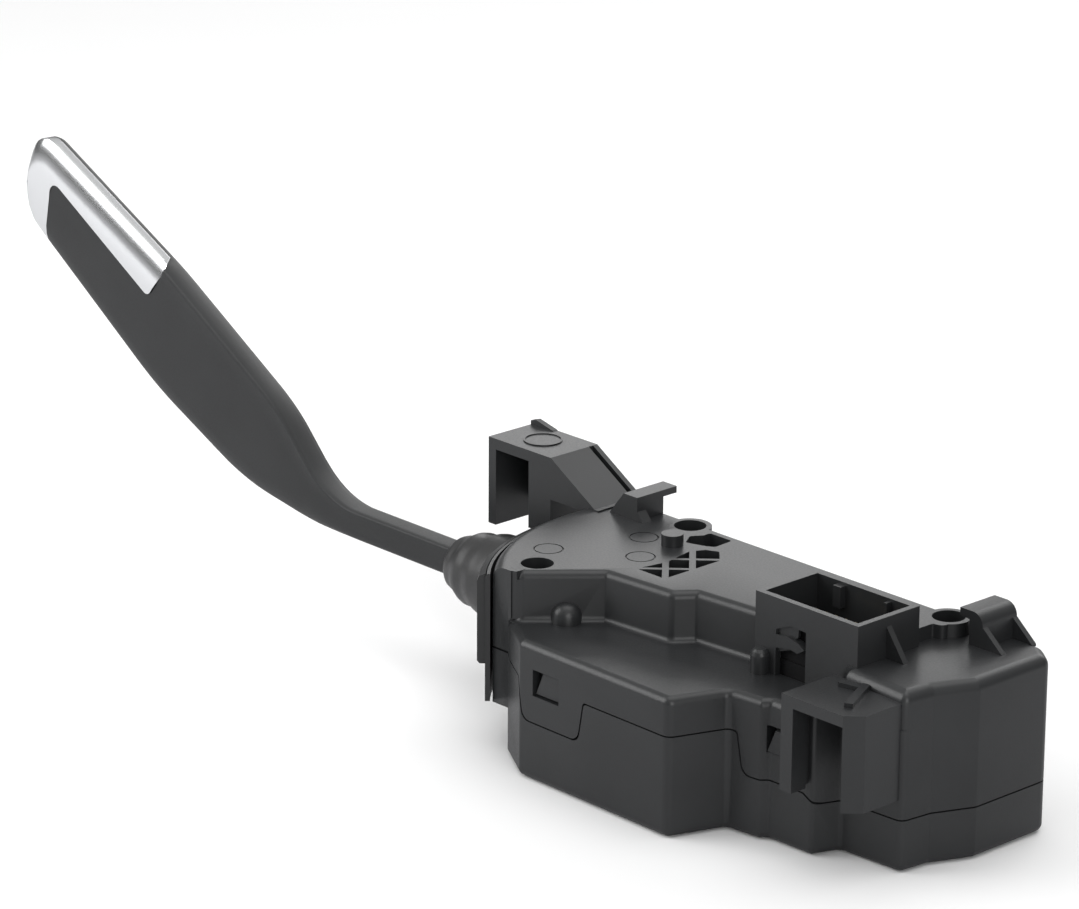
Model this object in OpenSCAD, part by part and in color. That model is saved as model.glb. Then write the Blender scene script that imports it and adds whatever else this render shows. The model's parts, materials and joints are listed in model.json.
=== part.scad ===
// Electronic gear selector lever for a steering column.
// Millimetres. The origin is the centre of the front screw hole on the mounting plate.
// +Z leaves the plate, the lever points along -X and the plug socket opens upward.

/* [Housing] */
// Height of the housing from the plate to the tray floor
body_h = 38.6; // [34:0.2:44]
// Wall thickness of both shells
wall = 2.0; // [1.6:0.1:2.4]
// Thickness of the mounting plate
plate_t = 2.5; // [2:0.1:3]
// Depth of the ledge below the plate
ledge_drop = 10.3; // [8:0.1:12]
// Depth of the rear deck below the plate
deck_drop = 2.8; // [2:0.1:4]
// Depth of the seam below the plate along the front
seam_drop = 18; // [16:0.5:20]
// Depth of the seam below the plate at the rear
rear_seam_drop = 28; // [25:0.5:30]
// Gap along the seam
seam_gap = 0.3; // [0.1:0.05:0.6]

/* [Screw holes] */
// Diameter of the three screw holes
screw_hole_d = 6.5; // [5:0.1:7]
// Wall round each screw hole
screw_wall = 1.1; // [0.9:0.1:1.6]

/* [Front flange] */
// Radius of the housing front round the pivot
front_r = 42.3; // [41:0.1:44]
// Thickness of the flange in front of it
flange_t = 3.0; // [2:0.1:3.4]
// Lower edge of the flange below the plate
flange_drop = 28.7; // [26:0.1:31]
// Swing of the lever to each side, in degrees
swing = 6; // [3:0.5:6]

/* [Shutter] */
// Running gap between the flange and the shutter
shutter_gap = 0.5; // [0.3:0.1:0.8]
// Thickness of the shutter sheet
shutter_t = 1.0; // [0.8:0.1:1.4]
// Thickness of the raised belt on the sheet
belt_t = 1.6; // [1:0.1:2]
// Height of the raised belt
belt_h = 15; // [12:0.5:18]

/* [Lever] */
// Width of the lever arm across the swing
arm_w = 7.0; // [6:0.1:8]
// Height of the lever arm
arm_h = 7.4; // [6.5:0.1:8.2]
// Length of the arm from the boot's end to the knee
arm_len = 41; // [35:0.5:50]
// Length of the grip from the knee to the tip
grip_len = 109; // [102:0.5:114]
// Rise of the grip above the arm's line, in degrees
grip_rise = 28.7; // [24:0.1:33]
// Width of the grip at its widest
grip_w = 28.2; // [26.4:0.2:30]
// Width of the steel core
core_w = 3.6; // [3:0.1:4]
// Height of the steel core
core_h = 4.2; // [3.6:0.1:4.6]

/* [Trim and park button] */
// Width of the bright band on the grip's side
trim_w = 8.2; // [7:0.1:9]
// Length of the bright band along the grip
trim_len = 43; // [36:0.5:48]
// Thickness of the trim
trim_t = 0.9; // [0.7:0.1:1.1]
// Width of the band on the grip's upper edge
trim_cap_w = 4.2; // [3.8:0.1:4.8]
// Height of the park button
button_h = 11; // [9:0.5:12]
// Thickness of the park button
button_w = 3.4; // [3:0.1:3.6]
// Travel of the park button
button_travel = 1.5; // [1:0.1:2]

/* [Pivot] */
// Diameter of the pivot pin
pin_d = 6; // [5:0.5:6.5]
// Running clearance round the pin, on the radius
pin_clear = 0.03; // [0.02:0.01:0.08]
// Outer diameter of the two bushes
bush_d = 9; // [8.5:0.1:10]
// Outer diameter of the carrier's hub
hub_d = 14; // [13:0.1:14.4]

/* [Plug socket] */
// Length of the socket outside
socket_l = 26.6; // [25:0.2:27]
// Width of the socket outside
socket_w = 16.7; // [15:0.1:17.5]
// Wall of the socket
socket_wall = 1.3; // [1.1:0.1:1.6]
// Height of the rim above the plate
socket_rise = 5.4; // [4:0.1:7]
// Contacts in each of the two rows
contacts = 7; // [4:1:8]
// Distance between contacts
contact_pitch = 2.54; // [2:0.01:2.6]

/* [Circuit board] */
// Thickness of the circuit board
board_t = 1.6; // [1:0.1:2]
// Height of the board's lower face above the tray floor
board_stand = 9; // [8:0.2:9.4]

/* [Hidden] */
eps = 0.01;
fit = 0.15;

// Heights, measured from the top of the mounting plate
floor_z = -body_h;
cavity_z = floor_z + wall;
ledge_z = -ledge_drop;
deck_z = -deck_drop;
tongue_z = -26.3;
part_z = -17;

// The pivot, the three screw holes and the lever's line
pivot = [26.5, 25.4];
holes = [[0, 0], [4.4, 37.5], [73.8, 37.7]];
hole_r = screw_hole_d / 2;
post_r = hole_r + screw_wall;
arm_y = 17;
arm_z = -14.9;

// Radii round the pivot
flange_r = front_r + flange_t;
sheet_r = flange_r + shutter_gap;
belt_r = sheet_r + shutter_t + belt_t;

// Outlines in plan, each corner with its rounding: x, y, radius
near_y = -6.8;
back_y = 38.5;
function arc_x(r, y) = pivot.x - sqrt(r * r - pow(y - pivot.y, 2));
function arc_angle(r, y) = asin((y - pivot.y) / r);
function front_arc(r, y0, y1, n = 14) = [for (i = [0:n])
    let (a = arc_angle(r, y0) + (arc_angle(r, y1) - arc_angle(r, y0)) * i / n)
    [pivot.x - r * cos(a), pivot.y + r * sin(a), 0]];

rear_corners = [[91, 7.3, 1.6], [91.8, 14.3, 1], [95.5, 22.8, 1.2], [95.5, 42, 2.5], [91.5, 45, 2]];
body_outline = concat([[8.5, -12.5, 1.6], [50, -13.2, 2], [54.3, -1.4, 1.4], [62, -0.7, 0.8],
    [63.2, 0.7, 0.8], [74.2, 0.9, 1.2], [76.4, 6.6, 1.2]], rear_corners, [[68, 45, 1], [66, back_y, 2]],
    front_arc(front_r, back_y, near_y));
plate_outline = concat([[1.6, -5.9, 1.5], [12.6, 6.4, 0.8], [29.4, 7.7, 2.2], [32.4, 11.6, 1],
    [49, 13, 1], [74.4, 13, 0], [74.4, 32.5, 0.5], [76.6, 33, 1.2], [76.6, back_y, 1]],
    front_arc(front_r, back_y, near_y + 1.5));
deck_outline = concat([[74.4, 8.6, 1]], rear_corners, [[68, 45, 1], [68, 30, 0]]);

// Socket and board places
socket_x = 49.4;
socket_y = 10.3;
socket_foot_z = -12;
header_top_z = -6;
board_z = cavity_z + board_stand;
board_top = board_z + board_t;
board_x0 = 42;
board_x1 = 87.4;
board_y0 = 12.5;
board_y1 = 41;
board_step = [72.5, 34.4];
board_holes = [[45.5, 31], [84.4, 37.8], [84.4, 16]];
sensor_x = pivot.x + 22;

// Plane geometry
function unit(v) = v / norm(v);
function turn(v) = [-v.y, v.x];
function xy(p) = [p.x, p.y];
function convex(a, b, c) = (b.x - a.x) * (c.y - b.y) - (b.y - a.y) * (c.x - b.x) > 0;
// Corner b, moved inward by d
function moved(a, b, c, d) =
    let (n1 = turn(unit(b - a)), n2 = turn(unit(c - b)))
    b + (n1 + n2) * d / (1 + n1 * n2);
// Points of the round at corner b
function round_at(a, b, c, r, n) = r <= 0 ? [b] :
    let (u = unit(a - b), v = unit(c - b), half = acos(u * v) / 2,
        o = b + unit(u + v) * r / sin(half), s = b + u * r / tan(half), e = b + v * r / tan(half),
        a0 = atan2(s.y - o.y, s.x - o.x), a1 = atan2(e.y - o.y, e.x - o.x),
        sweep = (a1 - a0 + 540) % 360 - 180)
    [for (i = [0:n]) o + r * [cos(a0 + sweep * i / n), sin(a0 + sweep * i / n)]];
// An outline moved inward by d, with its corners rounded
function outline(list, d = 0, n = 4) =
    let (m = len(list), p = [for (i = [0:m - 1])
        moved(xy(list[(i + m - 1) % m]), xy(list[i]), xy(list[(i + 1) % m]), d)])
    [for (i = [0:m - 1])
        let (a = p[(i + m - 1) % m], b = p[i], c = p[(i + 1) % m], r0 = list[i].z,
            r = r0 <= 0 ? 0 : convex(a, b, c) ? max(r0 - d, 0.3) : r0 + d)
        each round_at(a, b, c, r, n)];

module prism(list, z0, z1, d = 0) {
    translate([0, 0, z0]) linear_extrude(z1 - z0) polygon(outline(list, d));
}

// A plate seen from the front: its outline in x and z, from y0 to y1
module front_plate(points, y0, y1) {
    translate([0, y1, 0]) rotate([90, 0, 0]) linear_extrude(y1 - y0) polygon(points);
}

module box(x0, x1, y0, y1, z0, z1) {
    translate([x0, y0, z0]) cube([x1 - x0, y1 - y0, z1 - z0]);
}

// A sector of a revolved profile round the pivot, between two angles from the -X side
module front_sector(profile, a0, a1, fn = 96) {
    translate([pivot.x, pivot.y, 0]) rotate(180 - a1) rotate_extrude(angle = a1 - a0, $fn = fn)
        polygon(profile);
}

// The region above the seam, as seen from the front, dropped by g along the seam
module above_seam(g = 0) {
    tongue_r = 2.2;
    corners = [[-60, 20, 0], [-60, part_z - g, 0], [-1, part_z - g, 0], [0.5, -seam_drop - g, 0],
        [8 - g, -seam_drop - g, 0.8], [9.5 - g, tongue_z - g, tongue_r],
        [25 + g, tongue_z - g, tongue_r], [26.5 + g, -seam_drop - g, 0.8],
        [56.5 - g, -seam_drop - g, 0.8], [58 - g, tongue_z - g, tongue_r],
        [72 - g, tongue_z - g, 1], [75 - g, -rear_seam_drop - g, 1],
        [120, -rear_seam_drop - g, 0], [120, 20, 0]];
    translate([0, 80, 0]) rotate([90, 0, 0]) linear_extrude(160) polygon(outline(corners));
}

// Posts with a true bore for each screw
module screw_posts(z0, z1, r) {
    for (h = holes) translate([h.x, h.y, z0]) cylinder(r = r, h = z1 - z0, $fn = 48);
}

// The opening in the flange that the carrier's arm swings through
carrier_w = 9;
window_half = carrier_w / 2 + sheet_r * sin(swing) + 1.7;
window_y0 = arm_y - window_half;
window_y1 = arm_y + window_half;
window_z0 = arm_z - 6.4;
window_z1 = arm_z + 6.4;
module swing_window() {
    box(-30, -6, window_y0, window_y1, window_z0, window_z1);
}

// Snap windows in the tongues, with the wedge that shows in each
snap_z0 = -20.8;
snap_z1 = -15.4;
snaps = [[12.3, 19.7, -13], [62.8, 70, -0.9]];

// The three steps of the housing: the body up to the ledge, the plate and the rear deck
module tiers(d = 0, z0 = -60, step_t = 0, roof_t = 0, deck_t = 0) {
    prism(body_outline, z0, ledge_z - step_t, d);
    prism(plate_outline, ledge_z - step_t - 1, -roof_t, d);
    prism(deck_outline, ledge_z - step_t - 1, deck_z - deck_t, d);
}

// Pockets in the plate that the socket's walls and the clip bracket's foot are seated in
seat = 0.6;
bracket_y0 = 29.3;
bracket_y1 = 42.3;
bracket_end = -13.5;
module bracket_foot(z1) {
    box(-20, bracket_end, bracket_y0, bracket_y1, -seat, z1);
}

module flange(z0, z1) {
    round_r = flange_t - 0.4;
    profile = concat([[front_r - 0.5, z0], [flange_r, z0]],
        z1 < -1 ? [[flange_r, z1], [front_r - 0.5, z1]] :
        concat([for (i = [0:6]) let (t = i * 15)
            [flange_r - round_r * (1 - cos(t)), z1 - round_r * (1 - sin(t))]], [[front_r - 0.5, z1]]));
    difference() {
        front_sector(profile, -52, 20);
        box(-40, 30, -40, near_y, z0 - 1, z1 + 1);
    }
}

module clip_bracket() {
    x0 = -46;
    x1 = -27.5;
    y0 = bracket_y0;
    y1 = bracket_y1;
    top = 8;
    rib = 1.2;
    end_x = bracket_end;
    foot_z = -0.9;
    panel_w = 10.6;
    color([0.24, 0.245, 0.24]) difference() {
        union() {
            difference() {
                box(x0, x1, y0, y1, -10.6, top);
                box(x0 + 2.2, x0 + 12, y0 - 1, y1 - 1.8, -20, top - 2.3);
                box(x0 + 13.8, x1 - 1.6, y0 + 1.4, y1 - 1.8, -20, top - 2.3);
                box(x0 + 2.2, x0 + 10, y0 - 1, y1 + 1, -20, -7.4);
                box(x0 + 10, x1 + 1, y0 - 1, y1 + 1, -20, -8.6);
            }
            slope = [[x1 - 0.5, foot_z], [end_x, foot_z], [end_x, 0], [end_x - 1.1, 0.3], [x1, top],
                [x1 - 0.5, top]];
            front_plate(slope, y0, y0 + rib);
            front_plate(slope, y1 - rib, y1);
            panel = [[x1 - 0.5, top - 2], [x1, top - 2], [end_x - 3, foot_z], [end_x, foot_z], [end_x, 0],
                [end_x - 1.1, 0.3], [x1, top], [x1 - 0.5, top]];
            front_plate(panel, y0, y0 + panel_w);
            low = [[x1 - 0.5, foot_z], [end_x, foot_z], [end_x, foot_z + 0.6], [x1, 1.2], [x1 - 0.5, 1.2]];
            front_plate(low, y0, y1);
            bracket_foot(0.3);
            box(x0, x0 + 1.4, y1 - 1.2, y1, top - 1, top + 0.8);
            translate([x0 + 9.2, y0 + 6.6, top - 1]) cylinder(r = 4, h = 1.25, $fn = 48);
        }
        translate([x0 + 9.2, y0 + 6.6, top + 0.05]) cylinder(r = 3.7, h = 1, $fn = 48);
        difference() {
            union() {
                flange(part_z + 0.05, 0);
                tiers();
            }
            bracket_foot(1);
        }
    }
}

module plate_hook() {
    box(-6.2, -4.3, 31.5, 38.5, -eps, 5);
    box(-8.2, -4.3, 32.2, 42.2, 3.6, 5);
    front_plate([[-12.2, -eps], [-2.6, -eps], [-4.3, 2], [-4.3, 5], [-8.2, 5]], 31.2, 33.6);
}

module latch_box() {
    x0 = 71.4;
    x1 = 90;
    y0 = -5;
    y1 = 9;
    top = -5;
    bottom = -24.2;
    cut = 3;
    roof = 2.3;
    color([0.24, 0.245, 0.24]) difference() {
        union() {
            translate([0, 0, bottom]) linear_extrude(top - bottom)
                polygon([[x0, y0], [x1 - cut, y0], [x1, y0 + cut], [x1, y1], [x0, y1]]);
            front_plate([[82.6, top - 1], [84.2, top - 1], [84.2, top + 1.2], [82.6, top + 1.2]], -0.5, y1);
            front_plate([[79, top - 1], [83, top - 1], [83, top + 1], [79, top + 1]], 4.2, 5.4);
        }
        box(x0 + 3, x1 - cut, y0 - 1, y0 + 4, bottom - 1, top - roof);
        box(x0 + 1.6, x1 - 1.6, y0 + 3.9, y1 + 1, bottom - 1, top - roof);
        box(x1 - cut - 1, x1 - 1.6, y0 + 1.8, y0 + 5, bottom - 1, top - roof);
        tiers();
    }
}

module rear_catch() {
    x0 = 79;
    x1 = 83.6;
    y0 = 35;
    y1 = 44.8;
    top = 4;
    round_r = 2.4;
    end_t = 1.3;
    foot_x = 88;
    z0 = deck_z - 0.5;
    curve = concat([[x0, z0], [x1, z0]], [for (i = [0:6]) let (t = i * 15)
        [x1 - round_r * (1 - cos(t)), top - round_r * (1 - sin(t))]], [[x0, top]]);
    difference() {
        front_plate(curve, y0, y1);
        front_plate([[x0 - 1, z0], [x1 - 1.4, z0], [x1 - 1.4, top - round_r], [x1 - 2.8, top - 1.5],
            [x0 - 1, top - 1.5]], y0 + end_t, y1 - end_t);
    }
    for (y = [y0, y1 - end_t]) front_plate([[x1 - 0.5, z0], [foot_x, z0], [foot_x, deck_z], [x1 - 0.5, 1.2]],
        y, y + end_t);
}

socket_x1 = socket_x + socket_l;
socket_y1 = socket_y + socket_w;

module socket_cavity() {
    box(socket_x + socket_wall, socket_x1 - socket_wall, socket_y + socket_wall, socket_y1 - socket_wall,
        socket_foot_z - 8, socket_rise + 1);
}

// Notch in the front wall of the socket, with a thinner tab in its upper corner
module socket_notch() {
    x0 = socket_x + 5.5;
    front_plate([[x0, ledge_z - 1], [x0 + 7.8, ledge_z - 1], [x0 + 7.8, 0.5], [x0 + 5.4, 0.6], [x0 + 5.2, -1.4],
        [x0 + 3.8, -2.6], [x0 + 3.3, -4.4], [x0, -5.6]], socket_y - 1, socket_y + socket_wall + 1);
    front_plate([[x0, -5.8], [x0 + 3.4, -4.6], [x0 + 5.3, -1.4], [x0 + 5.4, 0.6], [x0 + 3.7, 0.7], [x0, -0.9]],
        socket_y - 1, socket_y + 0.6);
}

module socket_keys() {
    x0 = socket_x + socket_wall - 0.5;
    x1 = socket_x1 - socket_wall + 0.5;
    y0 = socket_y + socket_wall - 0.5;
    y1 = socket_y1 - socket_wall + 0.5;
    z0 = 0.5;
    z1 = socket_rise - 0.6;
    box(x0, x0 + 2.7, y0, y0 + 1.7, z0, z1);
    box(x0 + 5.9, x0 + 7.9, y1 - 1.9, y1, z0, z1);
    for (y = [y0, y1 - 1.7]) box(x1 - 6.1, x1 - 5.3, y, y + 1.7, z0, z1);
}

module plug_socket() {
    color([0.24, 0.245, 0.24]) difference() {
        union() {
            difference() {
                box(socket_x, socket_x1, socket_y, socket_y1, socket_foot_z, socket_rise);
                socket_cavity();
                socket_notch();
            }
            socket_keys();
            front_plate([[socket_x1 - 0.5, -4], [socket_x1 + 4.6, -4], [socket_x1 + 4.6, deck_z],
                [socket_x1 - 0.5, 4.2]], 18, 19.3);
            translate([socket_x + 2.2, socket_y - 0.7, ledge_z - 1]) rotate_extrude($fn = 40)
                polygon([[0, 0], [1.9, 0], [1.9, 4.6], [1.7, 5.3], [1.2, 5.8], [0, 5.9]]);
        }
        tiers(roof_t = seat);
    }
}

// Openings in the plate: a field crossed by slanting ribs, and a window beside the second screw hole
module lattice_cut() {
    field = [[15.2, 12.2, 0.5], [22.9, 12.2, 0.5], [22.9, 27.3, 0.5], [19.2, 30.9, 0.5],
        [16.6, 29.7, 0.5], [15.1, 26.6, 0.5], [16.5, 19.2, 0.5]];
    window = [[10.9, 29.8, 0.6], [15, 31.2, 0.6], [16.7, 32.2, 0.6], [16.4, 37.2, 0.6], [10.2, 37.2, 0.6],
        [10.4, 35.4, 0.6], [8.8, 33, 0.6]];
    rib = 1;
    translate([0, 0, -plate_t - 1]) linear_extrude(plate_t + 2) {
        polygon(outline(window, 0, 2));
        difference() {
            polygon(outline(field, 0, 2));
            for (c = [[15.7, 13], [15.6, 20.8]]) translate(c) rotate(45) translate([-3, -rib / 2])
                square([18, rib]);
            for (c = [[22.7, 12.8], [22.3, 20.6]]) translate(c) rotate(135) translate([-3, -rib / 2])
                square([18, rib + 0.3]);
        }
    }
}

module upper_housing() {
    color([0.24, 0.245, 0.24]) difference() {
        union() {
            intersection() {
                prism(body_outline, -rear_seam_drop - 2, ledge_z);
                above_seam();
            }
            prism(plate_outline, ledge_z - 1, 0);
            prism(deck_outline, ledge_z - 1, deck_z);
            flange(part_z + 0.05, 0);
            translate([7.4, 0.9, ledge_z - 1]) rotate_extrude($fn = 48)
                polygon([[0, 0], [3, 0], [3, 2.6], [2.7, 3.6], [2, 4.5], [1, 5], [0, 5.1]]);
            translate([10, 27, -1]) cylinder(d = 4.4, h = 3.4, $fn = 40);
            screw_posts(cavity_z + 0.3, 0, post_r);
            plate_hook();
            rear_catch();
        }
        difference() {
            tiers(wall, floor_z - 1, wall, plate_t, plate_t);
            screw_posts(cavity_z + 0.3, eps, post_r);
            translate([pivot.x, pivot.y, -8]) cylinder(r = pin_d / 2 + 2.2, h = 8, $fn = 48);
            box(socket_x, socket_x1, socket_y, socket_y1, socket_foot_z, 0);
        }
        socket_cavity();
        box(socket_x, socket_x1, socket_y, socket_y1, -seat, 1);
        bracket_foot(1);
        for (h = holes) translate([h.x, h.y, floor_z - 2]) cylinder(r = hole_r, h = body_h + 8, $fn = 48);
        translate([pivot.x, pivot.y, -9]) cylinder(d = pin_d, h = 9 - plate_t + 1, $fn = 48);
        swing_window();
        lattice_cut();
        for (s = snaps) box(s[0], s[1], s[2] - 3, s[2] + 4, snap_z0, snap_z1);
        for (m = [[-4.6, 7.3], [3.2, 25.8], [10.8, 17.5]]) translate([m.x, m.y, -0.3]) difference() {
            cylinder(r = 3, h = 1, $fn = 36);
            translate([0, 0, -1]) cylinder(r = 2.7, h = 3, $fn = 36);
        }
    }
}

module lower_housing() {
    lip_z = ledge_z - wall - 0.6;
    lip = wall + 0.2;
    color([0.22, 0.225, 0.22]) difference() {
        union() {
            difference() {
                union() {
                    difference() {
                        prism(body_outline, floor_z, -seam_drop + 4);
                        prism(body_outline, cavity_z, 0, wall);
                    }
                    flange(-flange_drop, part_z - seam_gap - 0.05);
                }
                above_seam(seam_gap);
            }
            difference() {
                prism(body_outline, cavity_z - eps, lip_z, lip);
                prism(body_outline, cavity_z - 1, lip_z + 1, lip + 1.4);
            }
            for (s = snaps) front_plate([[s[0] + 0.4, snap_z0 + 0.4], [s[1] - 0.4, snap_z0 + 0.4],
                [s[1] - 0.4, snap_z1 - 0.4], [s[0] + 2.4, snap_z1 - 0.4]], s[2] + wall - 1, s[2] + lip + 0.6);
            translate([pivot.x, pivot.y, cavity_z - eps]) cylinder(r = coil_r + wire_r, h = boss_h + eps, $fn = 48);
            box(pivot.x + post_x, pivot.x + leg_x, pivot.y - post_half, pivot.y + post_half, cavity_z - eps,
                spring_z + coil_half + wire_r + 0.3);
            for (b = board_holes) translate([b.x, b.y, cavity_z - eps]) cylinder(r = 2.6, h = board_stand, $fn = 32);
        }
        screw_posts(cavity_z + 0.2, 0, post_r + 0.2);
        for (h = holes) translate([h.x, h.y, floor_z - 2]) cylinder(r = hole_r, h = body_h, $fn = 48);
        translate([pivot.x, pivot.y, floor_z + 1]) cylinder(d = pin_d, h = 9, $fn = 48);
        for (b = board_holes) translate([b.x, b.y, cavity_z + 1]) cylinder(r = 0.9, h = board_stand + 2, $fn = 24);
        swing_window();
    }
}

module circuit_board() {
    corners = [[board_x0, board_y0, 1], [board_x1, board_y0, 1], [board_x1, board_y1, 1],
        [board_step.x, board_y1, 0], [board_step.x, board_step.y, 1], [board_x0, board_step.y, 1]];
    color([0.1, 0.32, 0.2]) difference() {
        prism(corners, board_z, board_top);
        for (b = board_holes) translate([b.x, b.y, board_z - 1]) cylinder(r = 1.3, h = board_t + 2, $fn = 24);
        translate([holes[2].x, holes[2].y, board_z - 1]) cylinder(r = post_r + 0.6, h = board_t + 2, $fn = 48);
        plug_contact_places() translate([0, 0, board_z - 1]) cylinder(r = 0.5, h = board_t + 2, $fn = 16);
    }
}

module board_screws() {
    color("silver") for (b = board_holes) translate([b.x, b.y, board_top]) {
        cylinder(r = 2.2, h = 1.5, $fn = 24);
        translate([0, 0, -board_t - 5]) cylinder(r = 0.86, h = board_t + 5 + eps, $fn = 24);
    }
}

module position_sensor() {
    color([0.12, 0.12, 0.13]) box(sensor_x - 2.5, sensor_x + 2.5, pivot.y - 2, pivot.y + 2,
        board_top, board_top + 1.2);
}

module controller_chip() {
    color([0.12, 0.12, 0.13]) box(76.5, 84.5, 23, 31, board_top, board_top + 1.3);
}

// Places of the plug contacts, two rows in the middle of the socket
module plug_contact_places() {
    for (i = [0:contacts - 1]) for (j = [0, 1])
        translate([socket_x + socket_l / 2 + (i - (contacts - 1) / 2) * contact_pitch,
            socket_y + socket_w / 2 + (j - 0.5) * 4.6, 0]) children();
}

module plug_header() {
    inset = socket_wall + fit;
    x0 = socket_x + inset;
    x1 = socket_x + socket_l - inset;
    y0 = socket_y + inset;
    y1 = socket_y + socket_w - inset;
    color([0.2, 0.2, 0.2]) difference() {
        union() {
            box(x0, x1, y0, y1, socket_foot_z - 3, header_top_z - 1.2);
            for (y = [y0, y1 - 1.6]) box(x0 + 4.6, x1, y, y + 1.6, board_top, socket_foot_z - 3 + eps);
        }
        plug_contact_places() translate([-0.36, -0.36, board_top - 1]) cube([0.72, 0.72, 30]);
    }
}

module plug_contacts() {
    color([0.8, 0.68, 0.35]) plug_contact_places()
        translate([-0.32, -0.32, board_z - 1]) cube([0.64, 0.64, 1.5 - board_z]);
}

// The plunger presses down beside the hub, and the detent block lies under its path
plunger_at = [pivot.x - 17, pivot.y];
plunger_r = 2.2;
land_z = -29;
module detent_block() {
    color([0.85, 0.84, 0.8]) difference() {
        box(plunger_at.x - 5, plunger_at.x + 5, plunger_at.y - 8, plunger_at.y + 6, cavity_z + 0.05, land_z + 1);
        translate([pivot.x, pivot.y, 0]) rotate([0, 0, 158]) rotate_extrude(angle = 44, $fn = 96)
            polygon([[17 - 2.6, land_z], [17 + 2.6, land_z], [17 + 2.6, land_z + 3], [17 - 2.6, land_z + 3]]);
        for (a = [-swing, 0, swing]) translate([pivot.x, pivot.y, 0]) rotate(a) translate([-17, 0, land_z + 1.4])
            sphere(r = 2, $fn = 32);
    }
}

module pivot_pin() {
    color("silver") difference() {
        translate([pivot.x, pivot.y, floor_z + 1.1]) cylinder(r = pin_d / 2 - 0.02, h = body_h - 1.2 - plate_t, $fn = 48);
        translate([pivot.x, pivot.y, 0]) rotate_extrude($fn = 48)
            polygon([[pin_d / 2 - 0.5, -9.6], [pin_d, -9.6], [pin_d, -8.8], [pin_d / 2 - 0.5, -8.8]]);
    }
}

module pivot_clip() {
    color("silver") translate([pivot.x, pivot.y, -9.55]) linear_extrude(0.7) difference() {
        circle(r = 4.8, $fn = 48);
        circle(r = pin_d / 2 - 0.45, $fn = 48);
        translate([0, -1.6]) square([8, 3.2]);
    }
}

// Hub of the carrier, between the two bosses of the housing
boss_h = 4;
hub_top = -10.4;
hub_bottom = cavity_z + boss_h + 0.15;

// Centring spring round the hub, its two legs held apart by a post on the tray floor
coil_r = 8.2;
wire_r = 0.8;
coil_pitch = 2 * wire_r + 0.05;
coil_half = 2 * coil_pitch;
spring_z = cavity_z + boss_h + 0.05 + coil_half + wire_r;
leg_x = 14;
post_x = 12.1;
post_half = coil_r - wire_r - 0.05;
module centring_spring() {
    color([0.6, 0.6, 0.62]) translate([pivot.x, pivot.y, 0]) {
        for (i = [-2:2]) translate([0, 0, spring_z + i * coil_pitch]) rotate_extrude($fn = 48)
            translate([coil_r, 0]) circle(r = wire_r, $fn = 16);
        for (s = [-1, 1]) translate([0, s * coil_r, spring_z + s * coil_half]) rotate([0, 90, 0])
            cylinder(r = wire_r, h = leg_x, $fn = 16);
    }
}

magnet_r = 3;
lug_half = post_half - leg_x * sin(swing);
module carrier() {
    color([0.78, 0.78, 0.74]) difference() {
        union() {
            translate([pivot.x, pivot.y, hub_bottom]) cylinder(d = hub_d, h = hub_top - hub_bottom, $fn = 64);
            box(-17, 24, arm_y - carrier_w / 2, arm_y + carrier_w / 2, arm_z - 5, hub_top);
            box(plunger_at.x - 4, pivot.x, arm_y, pivot.y + 4, -22.4, -17);
            translate([plunger_at.x, plunger_at.y, -24]) cylinder(r = 4, h = 7, $fn = 48);
            box(pivot.x, sensor_x, pivot.y - 3.5, pivot.y + 3.5, -22.4, -19.6);
            translate([sensor_x, pivot.y, -23.4]) cylinder(r = magnet_r + 1.4, h = 3.8, $fn = 48);
            box(pivot.x + coil_r + wire_r + 0.4, pivot.x + 11, pivot.y - lug_half, pivot.y + lug_half,
                spring_z - coil_half, -20);
        }
        translate([pivot.x, pivot.y, hub_bottom - 1]) cylinder(r = pin_d / 2 + 0.4, h = 40, $fn = 48);
        for (z = [hub_bottom - eps, hub_top - 5]) translate([pivot.x, pivot.y, z])
            cylinder(d = bush_d, h = 5 + eps, $fn = 48);
        translate([plunger_at.x, plunger_at.y, -30]) cylinder(r = plunger_r, h = 11.2, $fn = 40);
        translate([sensor_x, pivot.y, -24]) cylinder(r = magnet_r, h = 3, $fn = 48);
        box(-40, 9, arm_y - core_w / 2 - 0.05, arm_y + core_w / 2 + 0.05,
            arm_z - core_h / 2 - 0.05, arm_z + core_h / 2 + 0.05);
        box(-40, 12, arm_y + core_w / 2, arm_y + core_w / 2 + 1.5, arm_z - 0.8, arm_z + 0.8);
        difference() {
            box(-40, 0, -10, 60, -60, 10);
            translate([pivot.x, pivot.y, -60]) cylinder(r = sheet_r - 0.1, h = 80, $fn = 128);
        }
    }
}

module bush(z) {
    color([0.9, 0.88, 0.82]) translate([pivot.x, pivot.y, z]) difference() {
        cylinder(r = bush_d / 2 - 0.02, h = 4.95, $fn = 48);
        translate([0, 0, -1]) cylinder(r = pin_d / 2 + pin_clear - 0.02, h = 8, $fn = 48);
    }
}

module upper_bush() {
    bush(hub_top - 4.95);
}

module lower_bush() {
    bush(hub_bottom);
}

module position_magnet() {
    color([0.35, 0.35, 0.37]) translate([sensor_x, pivot.y, -23.35]) cylinder(r = magnet_r - 0.03, h = 2.3, $fn = 48);
}

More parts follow.
